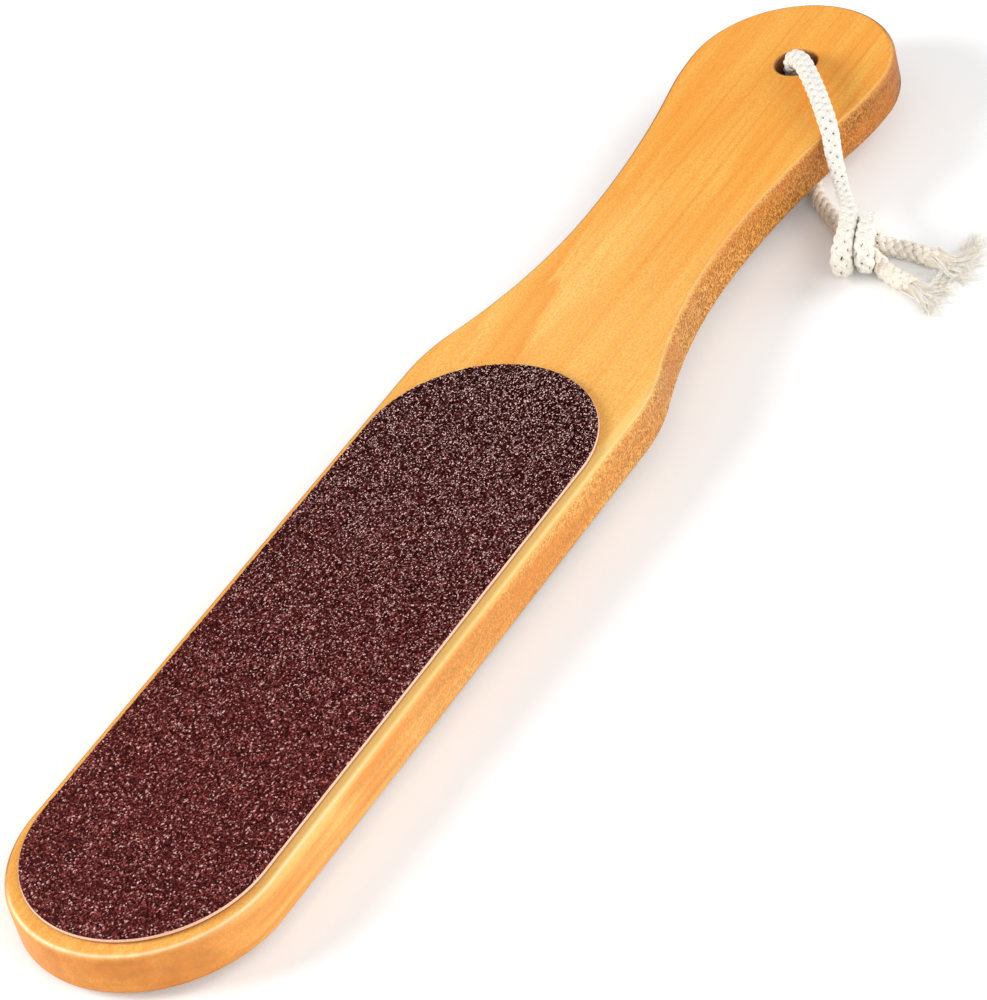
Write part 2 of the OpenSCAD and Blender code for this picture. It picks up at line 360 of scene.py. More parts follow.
def knot_wrap(side, lean, turn_in, start, end, steps):
    """Points of a winding of the knot, from one angle to another, where 90 degrees is its top."""
    turn = np.radians(np.linspace(start, end, steps))
    along = WRAP_R * np.cos(turn) + WRAP_RUN / 2 * np.clip(WRAP_SQUARENESS * np.cos(turn), -1, 1)
    rise = WRAP_R * np.sin(turn)
    across = (side * WRAP_APART / 2 - lean * rise - turn_in * along
              + WRAP_BOW * np.maximum(0, -np.cos(turn + WRAP_BOW_TURN)))
    cos, sin = math.cos(KNOT_HEADING), math.sin(KNOT_HEADING)
    x = KNOT_AT[0] + along * cos - across * sin
    y = KNOT_AT[1] + along * sin + across * cos
    return np.stack([x, y, WRAP_R + CORD_D / 2 + rise], 1).tolist()


def unit(v):
    """Vectors brought to a length of 1."""
    return v / np.maximum(np.linalg.norm(v, axis=-1, keepdims=True), 1e-9)


def carried_frames(line):
    """At each point of a line, its direction and two directions square to it, without twist."""
    ahead = unit(np.gradient(line, axis=0))
    side = unit(np.cross(ahead[0], NOT_ALONG))
    sides = []
    for d in ahead:
        side = unit(side - (side @ d) * d)
        sides.append(side)
    sides = np.array(sides)
    return ahead, sides, np.cross(ahead, sides)


def braided_cord(name, line, widths, fill, soil_and_shade, seed, material):
    """A cord of braided strands round a core, along a line of points.

    Its points carry how far out they lie, as a share of the cord's radius, which the material turns
    into painted shade towards the core, and how much dinge and painted shade they take.
    """
    draw = np.random.default_rng(seed)
    step = np.linalg.norm(np.diff(line, axis=0), axis=1).mean()
    along = np.arange(len(line)) * step
    ahead, side, up = carried_frames(line)
    swell = np.interp(along, *zip(*widths))
    full = np.interp(along, *zip(*fill))
    dinge_and_shade = np.interp(along, *zip(*soil_and_shade))
    points, faces, shade_depth, dinge_and_shade_values = [], [], [], []

    def add_tube(centres, across, outward, half_w, half_t, sides, far_out):
        spin = np.linspace(0, TAU, sides, endpoint=False)
        ring = centres[:, None] + swell[:, None, None] * (
            (half_w[:, None] * np.cos(spin))[..., None] * across[:, None]
            + (half_t * np.sin(spin))[None, :, None] * outward[:, None])
        out = np.linalg.norm(ring - line[:, None], axis=2) / (swell[:, None] * CORD_D / 2)
        ring[..., 2] = np.maximum(ring[..., 2], FLOOR_GAP)
        first = sum(len(p) for p in points)
        points.append(ring.reshape(-1, 3))
        faces.extend(tuple(first + i for i in f) for f in ring_faces(len(line), sides, True))
        shade_depth.append(out.ravel() if far_out else np.zeros(out.size))
        dinge_and_shade_values.append(np.repeat(dinge_and_shade, sides))

    turned = TAU * along / BRAID_PITCH
    for way in (1, -1):
        for k in range(STRANDS_EACH_WAY):
            turn = way * turned + TAU * k / STRANDS_EACH_WAY
            weave = swell * (STRAND_R + way * STRAND_WEAVE * np.cos(STRANDS_EACH_WAY * turned))
            outward = np.cos(turn)[:, None] * side + np.sin(turn)[:, None] * up
            centres = line + weave[:, None] * outward
            run = unit(np.gradient(centres, axis=0))
            across = unit(np.cross(run, outward))
            uneven = 1
            for (share, length), phase in zip(STRAND_WAVES, draw.uniform(0, TAU, 2)):
                uneven = uneven + share * np.sin(along / length + phase)
            add_tube(centres, across, np.cross(across, run), full * STRAND_HALF_W * uneven,
                     STRAND_HALF_T, STRAND_SIDES, True)
    # The core is painted darkest: shade seen through the gaps between strands
    add_tube(line, side, up, np.full(len(line), CORE_R), CORE_R, CORE_SIDES, False)
    piece = mesh_object(name, np.vstack(points), faces, material)
    point_values(piece, "shade_depth", np.concatenate(shade_depth))
    point_values(piece, "soil_and_shade", np.concatenate(dinge_and_shade_values))
    return piece


def shade_seams(cord, other_line):
    """Marks where a cord presses against the other one as deep, so that the seam between gets painted
    shade.
    """
    points = np.empty(len(cord.data.vertices) * 3, np.float32)
    cord.data.vertices.foreach_get("co", points)
    points = points.reshape(-1, 3) / MM
    gap = np.full(len(points), np.inf)
    for place in other_line[::2]:
        gap = np.minimum(gap, np.linalg.norm(points - place, axis=1))
    shade_depth = np.empty(len(points), np.float32)
    cord.data.attributes["shade_depth"].data.foreach_get("value", shade_depth)
    shade_depth = np.minimum(shade_depth, np.interp(gap, SEAM_GAPS, SEAM_DEPTHS))
    cord.data.attributes["shade_depth"].data.foreach_set("value", shade_depth.astype(np.float32))


def clump_line(draw, start, onward, fan, reach):
    """A clump's middle line, how far it has turned at each point, and the phase of its sway."""
    t = np.linspace(0, 1, CLUMP_STEPS)
    turned = np.clip(t * CLUMP_TURN_SPEED, 0, 1)
    turned = (turned * turned * (3 - 2 * turned))[:, None]
    run = unit((1 - turned) * onward + turned * fan)
    line = start + np.cumsum(run, axis=0) * (reach + CLUMP_INSIDE) / CLUMP_STEPS
    sway, phase, rate = [draw.uniform(*pair) for pair in (CLUMP_SWAY, ANY_TURN, CLUMP_SWAY_RATE)]
    line += (sway * t * np.sin(phase + rate * t))[:, None] * np.array([-fan[1], fan[0], 0])
    sunk = (draw.uniform(*CLUMP_HEIGHT) - start[2]) * turned[:, 0]
    line[:, 2] = start[2] + sunk + CLUMP_RIPPLE * t * np.sin(phase + CLUMP_RIPPLE_RATE * t)
    return line, turned, phase


def clump_threads(draw, start, onward, left, heading, reach):
    """The fibres of a clump, each followed by its hairs, as they are drawn.

    A thread is given by its path, radii, number of sides, tone, and how far out its points lie.
    """
    t = np.linspace(0, 1, CLUMP_STEPS)
    fan = np.array([math.cos(math.radians(heading)), math.sin(math.radians(heading)), 0])
    sideways = np.array([-fan[1], fan[0], 0])
    line, turned, phase = clump_line(draw, start, onward, fan, reach)
    _, side, up = carried_frames(line)
    for _ in range(CLUMP_FIBRES):
        far = math.sqrt(draw.uniform(*FIBRE_FAR))
        ripple = FIBRE_RIPPLE * np.sin(FIBRE_RIPPLE_RATE * t + phase)
        spread = far * (FIBRE_SPREAD + ripple + draw.uniform(*FIBRE_FLARE) * t ** 3)
        turn = draw.uniform(*ANY_TURN) + draw.uniform(*FIBRE_TWIST) * t
        fibre = line + (spread * np.cos(turn))[:, None] * side
        fibre += (spread * np.sin(turn) * FIBRE_FLATNESS)[:, None] * up
        around = draw.uniform(*ANY_TURN)
        shell = math.cos(around) * left + math.sin(around) * np.array([0, 0, FIBRE_SHELL_RISE])
        fibre += (1 - turned) * FIBRE_SHELL * shell
        wave = draw.uniform(*FIBRE_WAVE)
        waved = wave * t * np.sin(draw.uniform(*ANY_TURN) + FIBRE_WAVE_RATE * t)
        fibre += waved[:, None] * sideways
        keep = int(len(t) * draw.uniform(*FIBRE_LENGTH))
        radii = FIBRE_R * (1 - FIBRE_TAPER * t[:keep]) * draw.uniform(*FIBRE_THICKNESS)
        fibre = fibre[:keep]
        fibre[:, 2] = np.maximum(fibre[:, 2], radii + FLOOR_GAP)
        yield fibre, radii, FIBRE_SIDES, draw.random(), t[:keep]
        for _ in range(FIBRE_HAIRS):
            at = draw.integers(keep // 2, keep - 1)
            away = unit(fibre[at] - fibre[at - 2]) + draw.normal(0, HAIR_STRAY)
            bend = draw.normal(0, HAIR_BEND, 3)
            part = np.linspace(0, 1, HAIR_STEPS)[:, None]
            hair = fibre[at] + draw.uniform(*HAIR_LENGTH) * (part * away + part * part * bend)
            thin = HAIR_R * (1 - HAIR_TAPER * part[:, 0])
            hair[:, 2] = np.maximum(hair[:, 2], thin + FLOOR_GAP)
            yield hair, thin, HAIR_SIDES, draw.random(), np.ones(HAIR_STEPS)


def loose_yarns(name, line, clumps, seed, material):
    """Clumps of soft fibres that part from a cord's end and settle on the floor.

    Their points carry a tone for each fibre and how far out along the clump they lie.
    """
    draw = np.random.default_rng(seed)
    end, onward = line[-1], unit(line[-1] - line[-6])
    left = np.array([-onward[1], onward[0], 0])
    points, faces, tones, outs, count = [], [], [], [], 0
    for number, (heading, reach) in enumerate(clumps):
        share = 1 - 2 * number / (len(clumps) - 1)
        start = end - CLUMP_INSIDE * onward + CLUMP_ASIDE * share * left
        start[2] += draw.uniform(*CLUMP_RISE)
        for path, radii, sides, tone, out in clump_threads(
                draw, start, onward, left, heading, reach):
            _, side, up = carried_frames(path)
            spin = np.linspace(0, TAU, sides, endpoint=False)[None, :, None]
            outward = np.cos(spin) * side[:, None] + np.sin(spin) * up[:, None]
            ring = path[:, None] + radii[:, None, None] * outward
            ring[..., 2] = np.maximum(ring[..., 2], FLOOR_GAP)
            points.append(ring.reshape(-1, 3))
            faces += [tuple(count + i for i in f) for f in ring_faces(len(path), sides, True)]
            tones.append(np.full(len(path) * sides, tone))
            outs.append(np.repeat(out, sides))
            count += len(path) * sides
    piece = mesh_object(name, np.vstack(points), faces, material)
    point_values(piece, "tone", np.concatenate(tones))
    point_values(piece, "out", np.concatenate(outs))
    return piece


# Materials
class Shader:
    """A material's nodes, made and joined in one call each."""

    def __init__(self, name):
        self.material = bpy.data.materials.new(name)
        self.material.use_nodes = True
        self.nodes = self.material.node_tree.nodes
        self.links = self.material.node_tree.links
        self.surface = self.nodes["Principled BSDF"]

    def set(self, node, inputs):
        for key, value in inputs.items():
            socket = node.inputs[key]
            if isinstance(value, bpy.types.NodeSocket):
                self.links.new(value, socket)
            else:
                socket.default_value = value

    def add(self, kind, inputs=None, **settings):
        """A new node, with its inputs set or joined and its settings made."""
        node = self.nodes.new(kind)
        for key, value in settings.items():
            setattr(node, key, value)
        self.set(node, inputs or {})
        return node

    def place(self, scale):
        """The piece's own coordinates in millimetres, times a scale along each axis."""
        where = self.add("ShaderNodeTexCoord").outputs["Object"]
        scale = [share / MM for share in scale]
        return self.add("ShaderNodeMapping", {"Vector": where, "Scale": scale}).outputs["Vector"]

    def axes(self):
        """The piece's own coordinates in millimetres, one by one."""
        parts = self.add("ShaderNodeSeparateXYZ", {"Vector": self.place((1, 1, 1))})
        return parts.outputs["X"], parts.outputs["Y"], parts.outputs["Z"]

    def noise(self, scale, detail=3.0, distortion=0.0, roughness=0.5, shift=None):
        """Cloudy noise, whose scale along each axis is a number of clouds in a millimetre."""
        where = self.place(scale)
        if shift is not None:
            where = self.add("ShaderNodeVectorMath", {0: where, 1: shift}).outputs["Vector"]
        made = self.add("ShaderNodeTexNoise", {"Vector": where, "Scale": 1.0, "Detail": detail,
                                               "Roughness": roughness, "Distortion": distortion})
        return made.outputs["Fac"]

    def ramp(self, value, *stops):
        """A colour ramp of (position, colour) stops."""
        node = self.add("ShaderNodeValToRGB", {"Fac": value})
        ramp = node.color_ramp
        while len(ramp.elements) < len(stops):
            ramp.elements.new(0.5)
        for element, (position, colour) in zip(ramp.elements, stops):
            element.position = position
            element.color = (*colour, 1)
        return node.outputs["Color"]

    def cell_value(self, scale):
        """A random number for each small cell of the surface."""
        cells = self.add("ShaderNodeTexVoronoi", {"Vector": self.place(scale), "Scale": 1.0})
        return self.add("ShaderNodeSeparateColor", {"Color": cells.outputs["Color"]}).outputs["Red"]

    def maths(self, how, a, b):
        return self.add("ShaderNodeMath", {0: a, 1: b}, operation=how).outputs["Value"]

    def plus(self, a, b):
        return self.maths("ADD", a, b)

    def times(self, a, b):
        return self.maths("MULTIPLY", a, b)

    def span(self, value, low, high, to_low=0.0, to_high=1.0):
        """A value from low to high turned into one from to_low to to_high, and held at the ends."""
        node = self.add("ShaderNodeMapRange", {"Value": value, "From Min": low, "From Max": high,
                                               "To Min": to_low, "To Max": to_high})
        return node.outputs["Result"]

    def mix(self, factor, a, b, how="MIX"):
        """Colour a with a share of colour b over it."""
        node = self.add("ShaderNodeMix", data_type="RGBA", blend_type=how)
        colours = [socket for socket in node.inputs if socket.type == "RGBA"]
        for socket, value in ((node.inputs["Factor"], factor), (colours[0], a), (colours[1], b)):
            if isinstance(value, bpy.types.NodeSocket):
                self.links.new(value, socket)
            else:
                socket.default_value = value if isinstance(value, float) else (*value, 1)
        return next(socket for socket in node.outputs if socket.type == "RGBA")

    def tint(self, colour, share, screen_colour):
        """A colour with a share of another one, which is given as screen values."""
        return self.mix(share, colour, linear(*screen_colour))

    def value_of(self, name):
        """The number that a mesh's points carry under this name."""
        return self.add("ShaderNodeAttribute", attribute_name=name).outputs["Fac"]

    def bump(self, height, distance, strength):
        node = self.add("ShaderNodeBump", {"Height": height, "Distance": distance * MM,
                                           "Strength": strength})
        return node.outputs["Normal"]


def growth_rings(look, x, y, streaks):
    """Growth rings cut flat: nested tongues that open towards the handle."""
    warp = look.noise((0.035, 0.14, 0.14), 3.0, 0.4)
    aside = look.plus(look.plus(y, -TONGUE_Y), look.span(warp, 0.3, 0.7, -2.4, 2.4))
    square = look.plus(look.times(aside, aside), TONGUE_R * TONGUE_R)
    ring = look.maths("MAXIMUM", look.maths("SUBTRACT", square, look.plus(x, -TONGUE_X)), 0.0)
    ring = look.plus(look.maths("POWER", ring, 0.5), look.span(streaks, 0.3, 0.7, -0.7, 0.7))
    pale, mid, deep = linear(255, 214, 124), linear(254, 198, 104), linear(243, 148, 50)
    rings = look.ramp(look.maths("DIVIDE", ring, RINGS_SPAN), (0.0, pale), (0.17, pale),
                      (0.215, deep), (0.3, linear(249, 170, 74)), (0.42, mid), (0.475, pale),
                      (0.5, linear(250, 178, 84)), (0.62, mid), (0.67, linear(250, 180, 86)),
                      (1.0, mid))
    return look.mix(look.span(aside, -4, 2, 0.85, 0.0), rings, mid)


def wood_face(look, x, y, streaks, clouds, fibres, grains):
    """The colour of the flat faces: rings at the neck, bands and fine lines on the grip."""
    lines = look.noise((0.010, 1.1, 1.1), 2.0, 0.2, shift=(3.7, 1.3, 0))
    bands = look.noise((0.013, 0.2, 0.2), 2.0, 0.6, shift=(5.3, 2.9, 0))
    plain = look.ramp(clouds, (0.32, linear(255, 202, 98)), (0.5, linear(254, 190, 86)),
                      (0.68, linear(252, 174, 70)))
    rings = growth_rings(look, x, y, streaks)
    face = look.mix(look.span(x, 40, 85, 0.9, 0.1), plain, rings)
    face = look.tint(face, look.span(x, 70, 112, 0.0, 0.4), (255, 186, 82))
    face = look.tint(face, look.span(x, 40, 80, 0.25, 0.0), (255, 212, 128))
    face = look.tint(face, look.span(y, 4, 18, 0.0, 0.3), (255, 202, 104))
    banded = look.times(look.span(bands, 0.48, 0.64, 0.0, 0.6), look.span(x, 45, 90, 0.4, 1.0))
    face = look.tint(face, banded, (252, 162, 58))
    face = look.tint(face, look.span(streaks, 0.45, 0.66, 0.0, 0.34), (246, 154, 54))
    drawn = look.times(look.span(lines, 0.56, 0.68, 0.0, 0.38), look.span(x, 35, 85, 0.3, 1.0))
    face = look.tint(face, drawn, (230, 138, 50))
    face = look.tint(face, look.span(fibres, 0.35, 0.7, 0.0, 0.16), (232, 146, 56))
    face = look.tint(face, look.span(grains, 0.4, 0.62, 0.0, 0.5), (230, 140, 50))

    # The narrow strip between the pad and the board's near edge is painted paler: painted light that
    # lifts the shade cast by the pad's step
    painted_light_strip = look.times(look.span(y, -21.6, -22.4, 0.0, 0.75), look.span(x, -115, -95))
    painted_light_strip = look.times(painted_light_strip, look.span(x, 5, 25, 1.0, 0.0))
    return look.tint(face, painted_light_strip, (255, 215, 132))


def wood_wall(look, x, streaks, clouds, pores):
    """The colour of the sides: dotted with pores on the grip, plainer and layered on the blade."""
    tone = look.ramp(look.span(x, -132, 132), (0.0, linear(236, 158, 76)),
                     (0.12, linear(250, 188, 108)), (0.46, linear(232, 172, 96)),
                     (0.56, linear(194, 142, 80)), (0.73, linear(198, 142, 72)),
                     (0.9, linear(154, 106, 50)), (1.0, linear(120, 80, 36)))
    dots = look.ramp(pores, (0.34, (0.42, 0.28, 0.15)), (0.5, (0.97, 0.92, 0.82)),
                     (0.66, (1.75, 1.9, 1.9)))
    dotted = look.mix(1.0, tone, dots, "MULTIPLY")
    wall = look.mix(look.span(x, -90, 60, 0.1, 1.0), tone, dotted)
    wall = look.tint(wall, look.span(clouds, 0.44, 0.6, 0.0, 0.5), (198, 114, 46))
    layers = look.noise((0.05, 0.06, 1.3), 3.0, 0.2)
    layered = look.times(look.span(layers, 0.42, 0.6, 0.0, 0.55), look.span(x, -40, 30, 1.0, 0.3))
    wall = look.tint(wall, layered, (230, 142, 62))
    return look.tint(wall, look.span(streaks, 0.4, 0.7, 0.0, 0.25), (176, 112, 58))


def wood_material():
    """Honey-coloured varnished wood, whose x runs from -132 at the tip to 132 at the handle's end."""
    look = Shader("varnished_wood")
    x, y, _ = look.axes()
    fibres = look.noise((0.22, 3.2, 3.2), 2.0)
    grains = look.noise((2.4, 3.0, 3.0), 2.0, roughness=0.65)
    streaks = look.noise((0.014, 0.55, 0.55), 3.0, 0.3)
    clouds = look.noise((0.02, 0.1, 0.1), 2.0, 0.5, shift=(9.1, 4.2, 0))
    pores = look.plus(look.times(look.noise((4.4, 4.8, 2.6), 1.0, roughness=0.6), 0.6),
                      look.times(look.cell_value((4.0, 4.0, 2.7)), 0.4))
    face = wood_face(look, x, y, streaks, clouds, fibres, grains)
    wall = wood_wall(look, x, streaks, clouds, pores)
    colour = look.mix(look.value_of("wall"), face, wall)

    # The painted highlight along the rim, and painted shade on the rim's far side, the back edge and
    # inside the hole
    rim_highlight = look.mix(look.span(x, -120, -60), linear(255, 238, 192), linear(255, 224, 150))
    shine = look.times(look.value_of("rim_highlight"), look.span(x, -20, 60, 0.8, 0.42))
    shine = look.times(shine, look.span(streaks, 0.35, 0.6, 1.0, 0.7))
    colour = look.mix(shine, colour, rim_highlight)
    # Painted shade on the rim's far side, the back edge and inside the hole
    colour = look.tint(colour, look.value_of("painted_edge_shade"), (112, 68, 42))
    height = look.plus(look.times(fibres, 0.5), look.times(pores, look.value_of("wall")))
    look.set(look.surface, {
        "Base Color": colour, "Roughness": look.span(grains, 0.3, 0.7, 0.38, 0.5),
        "Specular IOR Level": 0.2, "Coat Weight": 0.06, "Coat Roughness": 0.25,
        "Normal": look.bump(height, 0.05, 0.5)})
    return look.material


def grit_material(name, facet_size, evenness):
    """Loose dark grains, their tone random per facet and painted lighter on high grains, with painted
    glints, redder and more even in tone towards the tip.
    """
    look = Shader(name)
    x, _, _ = look.axes()
    facet = look.cell_value((1 / facet_size,) * 3)
    glint = look.cell_value((1.6 / facet_size,) * 3)
    # The grains' tone: random for each facet, plus painted light on high grains and painted shade on
    # low ones
    grain = look.plus(look.times(look.value_of("grain"), 0.35), look.times(facet, 0.65))
    patches = look.noise((0.4, 0.4, 0.4), 2.0)
    colour = look.ramp(grain, (0.0, linear(6, 0, 0)), (0.36, linear(36, 3, 3)),
                       (0.6, linear(102, 38, 36)), (0.78, linear(172, 88, 84)),
                       (0.92, linear(255, 228, 222)))
    colour = look.tint(colour, look.span(patches, 0.35, 0.65, 0.0, 0.3), (76, 26, 25))
    colour = look.tint(colour, look.span(x, -130, 10, evenness, 0.0), (84, 44, 42))
    colour = look.tint(colour, look.span(x, -90, 20, 0.0, 0.82), (12, 0, 0))
    # Painted glints: specks of painted highlight, fewer towards the tip
    glints = look.span(look.plus(glint, look.span(x, -90, 15, -0.11, 0.0)), 0.893, 0.903)
    colour = look.tint(colour, glints, (255, 208, 201))
    look.set(look.surface, {"Base Color": colour, "Roughness": 0.6, "Specular IOR Level": 0.02})
    return look.material


def backing_material():
    """Pale foam, brown at the bottom of its cut edge with glue and painted shade in the seam above the
    film.
    """
    look = Shader("cream_backing")
    pores = look.noise((3.0, 3.0, 3.0), 2.0)
    colour = look.mix(look.span(pores, 0.35, 0.65), linear(236, 188, 162), linear(244, 206, 182))
    # Glue and painted shade along the bottom of the cut edge
    colour = look.tint(colour, look.value_of("glue"), (136, 90, 56))
    look.set(look.surface, {"Base Color": colour, "Roughness": 0.75,
                            "Normal": look.bump(pores, 0.06, 0.6)})
    return look.material


def film_material():
    """Brown adhesive, a little cloudy."""
    look = Shader("adhesive_film")
    cloud = look.noise((0.6, 0.6, 0.6), 2.0)
    colour = look.mix(look.span(cloud, 0.3, 0.7), linear(128, 84, 56), linear(156, 108, 74))
    look.set(look.surface, {"Base Color": colour, "Roughness": 0.45,
                            "Normal": look.bump(cloud, 0.02, 0.4)})
    return look.material


def yarn_material():
    """Loose cotton, whiter than the braid, and browner with painted shade where it leaves the cord."""
    look = Shader("cotton_yarn")
    fluff = look.noise((2.2, 2.2, 2.2), 3.0)
    colour = look.ramp(look.value_of("tone"), (0.0, linear(240, 226, 202)),
                       (0.2, linear(253, 247, 234)), (0.8, linear(255, 254, 250)),
                       (1.0, linear(252, 242, 226)))
    colour = look.tint(colour, look.span(fluff, 0.35, 0.65, 0.2, 0.0), (242, 226, 206))
    # Painted shade at the fibres' roots, where they leave the cord
    colour = look.tint(colour, look.span(look.value_of("out"), 0.0, 0.4, 0.4, 0.0), (206, 176, 136))
    look.set(look.surface, {
        "Base Color": colour, "Roughness": 0.9, "Sheen Weight": 0.3, "Sheen Roughness": 0.5,
        "Subsurface Weight": 0.15, "Subsurface Radius": (0.001, 0.0008, 0.0006),
        "Subsurface Scale": 0.5})
    return look.material


def braid_material():
    """Braided cotton, dingy in places, with painted shade: darker under the grip, in its seams and on
    the strands' inner sides, darkest in the gaps between strands and on the core.
    """
    look = Shader("braided_cotton")
    fluff = look.noise((2.2, 2.2, 2.2), 3.0)
    fine = look.noise((9.0, 9.0, 9.0), 2.0)
    soil_and_shade, shade_depth = look.value_of("soil_and_shade"), look.value_of("shade_depth")
    clean = look.mix(look.span(fluff, 0.35, 0.65), linear(229, 226, 216), linear(241, 239, 231))
    dingy_and_shaded = look.mix(look.span(fluff, 0.35, 0.65), linear(238, 222, 200), linear(252, 246, 234))
    strand_shade = look.mix(soil_and_shade, linear(206, 200, 188), linear(176, 140, 108))
    colour = look.mix(soil_and_shade, clean, dingy_and_shaded)
    # Painted shade on the strands' inner sides and in the seams, darkest in the gaps and on the core
    colour = look.mix(look.span(shade_depth, 0.5, 0.78, 1.0, 0.0), colour, strand_shade)
    colour = look.tint(colour, look.span(shade_depth, 0.36, 0.6, 1.0, 0.0), (52, 42, 36))
    look.set(look.surface, {"Base Color": colour, "Roughness": 0.85, "Sheen Weight": 0.3,
                            "Sheen Roughness": 0.5, "Normal": look.bump(fine, 0.05, 0.4)})
    return look.material


# Board
def arc(x, y, r, start, end, outward):
    """Points of an arc with the outline's outward direction at each, in degrees from start to end."""
    steps = max(2, int(math.ceil(abs(math.radians(end - start)) * r / ARC_STEP)))
    turn = np.radians(np.linspace(start, end, steps + 1))
    way = np.stack([np.cos(turn), np.sin(turn)], 1)
    return np.array([x, y]) + r * way, outward * way


def run_of(rise, radii):
    """How long two opposite arcs, whose radii add up to this, take to rise so far."""
    return math.sqrt(rise * (2 * radii - rise))


def board_outline():
    """The board's outline as points and outward directions, anticlockwise from the tip's right side."""
    blade, neck, grip = BLADE_W / 2, NECK_W / 2, GRIP_W / 2
    grip_x = BOARD_L - grip
    waist_x = grip_x - run_of(grip - neck, NECK_GRIP_R + GRIP_SIDE_R)
    shoulder_x = waist_x - run_of(blade - neck, NECK_BLADE_R + SHOULDER_R)
    shoulder_turn = math.degrees(math.asin((waist_x - shoulder_x) / (NECK_BLADE_R + SHOULDER_R)))
    grip_turn = math.degrees(math.asin((grip_x - waist_x) / (NECK_GRIP_R + GRIP_SIDE_R)))
    arcs = [
        arc(blade, 0, blade, 180, 90, 1),
        arc(shoulder_x, blade - SHOULDER_R, SHOULDER_R, 90, 90 - shoulder_turn, 1),
        arc(waist_x, neck + NECK_BLADE_R, NECK_BLADE_R, -90 - shoulder_turn, -90, -1),
        arc(waist_x, neck + NECK_GRIP_R, NECK_GRIP_R, -90, -90 + grip_turn, -1),
        arc(grip_x, grip - GRIP_SIDE_R, GRIP_SIDE_R, 90 + grip_turn, 90, 1),
        arc(grip_x, 0, grip, 90, 0, 1)]
    points, ways = [arcs[0][0][0]], [arcs[0][1][0]]
    for p, w in arcs:
        for point, way in zip(p, w):
            if np.linalg.norm(point - points[-1]) > 1e-6:
                points.append(point)
                ways.append(way)
    points, ways = np.array(points), np.array(ways)
    mirror = np.array([1, -1])
    points = np.vstack([points, points[-2:0:-1] * mirror])
    ways = np.vstack([ways, ways[-2:0:-1] * mirror])
    return points[::-1], ways[::-1]


def board_mesh(material):
    """The board, its edges and the hole's mouths finely rounded.

    Its points carry how far they belong to the sides, to the rim's painted highlight line and to the
    painted shade on the edges and inside the hole.
    """
    outline, ways = board_outline()
    n = len(outline)
    near = np.clip(ways @ NEAR_SIDE * NEAR_SHARPNESS + NEAR_SHARE, 0, 1)
    narrow = np.interp(outline[:, 0], *zip(*RIM_SHARPNESS))
    points, normals, wall, rim_highlight, painted_edge_shade = [], [], [], [], []

    def add_ring(xy, way, z, inset, out, rise, side, light=0.0, edge_shade=0.0):
        points.append(np.column_stack([xy - inset * way, np.full(len(xy), z)]))
        normals.append(np.column_stack([out * way, np.full(len(xy), rise)]))
        for values, value in ((wall, side), (rim_highlight, light), (painted_edge_shade, edge_shade)):
            values.append(np.zeros(len(xy)) + value)

    # The outline's rings, from the back face's edge up to the front face's
    bevel = np.linspace(0, math.pi / 2, BEVEL_RINGS)
    for a in bevel:
        cos, sin = math.cos(a), math.sin(a)
        add_ring(outline, ways, z=EDGE_R * (1 - cos), inset=EDGE_R * (1 - sin), out=sin, rise=-cos,
                 side=sin ** 2, edge_shade=BACK_EDGE_SHADE * (1 - sin) ** 0.6)
    for a in bevel:
        cos, sin = math.cos(a), math.sin(a)
        # The front rim: a painted highlight on the near side, painted shade on the far side
        light = math.sin(math.pi * (2 * a / math.pi) ** RIM_FACEWARD)
        edge_shade = RIM_SHADE * math.exp(-((math.degrees(a) - RIM_SHADE_AT) / RIM_SHADE_SPREAD) ** 2)
        add_ring(outline, ways, z=BOARD_T - EDGE_R * (1 - sin), inset=EDGE_R * (1 - cos), out=cos,
                 rise=sin, side=cos ** 1.5, light=near * light ** narrow, edge_shade=(1 - near) * edge_shade)
    rings = 2 * BEVEL_RINGS
    faces = ring_faces(rings, n)

    # The hole's rings, from the front mouth's edge down to the back one's, darker inside with painted
    # shade
    turn = np.linspace(0, TAU, HOLE_SIDES, endpoint=False)
    way = np.stack([np.cos(turn), np.sin(turn)], 1)
    mouth_xy = np.array([BOARD_L - HOLE_FROM_END, -HOLE_ASIDE]) + (HOLE_D / 2 + HOLE_MOUTH_R) * way
    mouth = np.linspace(0, math.pi / 2, MOUTH_RINGS)
    for a, up in [(a, 1) for a in mouth] + [(a, -1) for a in mouth[::-1]]:
        cos, sin = math.cos(a), math.sin(a)
        drop = HOLE_MOUTH_R * (1 - cos)
        add_ring(mouth_xy, way, z=BOARD_T - drop if up > 0 else drop, inset=HOLE_MOUTH_R * sin,
                 out=-sin, rise=up * cos, side=sin ** 2, edge_shade=MOUTH_SHADE * sin)
    first_hole, hole_rings = rings * n, 2 * MOUTH_RINGS
    faces += [tuple(first_hole + i for i in f) for f in ring_faces(hole_rings, HOLE_SIDES)]

    # The flat faces, with the hole left open
    everything = np.vstack(points)
    last_hole = first_hole + (hole_rings - 1) * HOLE_SIDES
    for ring_start, hole_start, up in ((0, last_hole, False), ((rings - 1) * n, first_hole, True)):
        index = [*range(ring_start, ring_start + n), *range(hole_start, hole_start + HOLE_SIDES)]
        loops = [[Vector(everything[i]) for i in loop] for loop in (index[:n], index[n:])]
        for triangle in geometry.tessellate_polygon(loops):
            corners = [index[k] for k in triangle]
            p, q, r = everything[corners, :2]
            turns_left = np.cross(q - p, r - p) > 0
            faces.append(tuple(corners if turns_left == up else corners[::-1]))

    piece = mesh_object("wooden_board", lying(everything), faces, material)
    directions = lying(np.vstack(normals)) - lying(np.zeros((1, 3)))
    piece.data.normals_split_custom_set_from_vertices([tuple(v) for v in unit(directions)])
    for name, values in (("wall", wall), ("rim_highlight", rim_highlight), ("painted_edge_shade", painted_edge_shade)):
        point_values(piece, name, np.concatenate(values))
    return piece


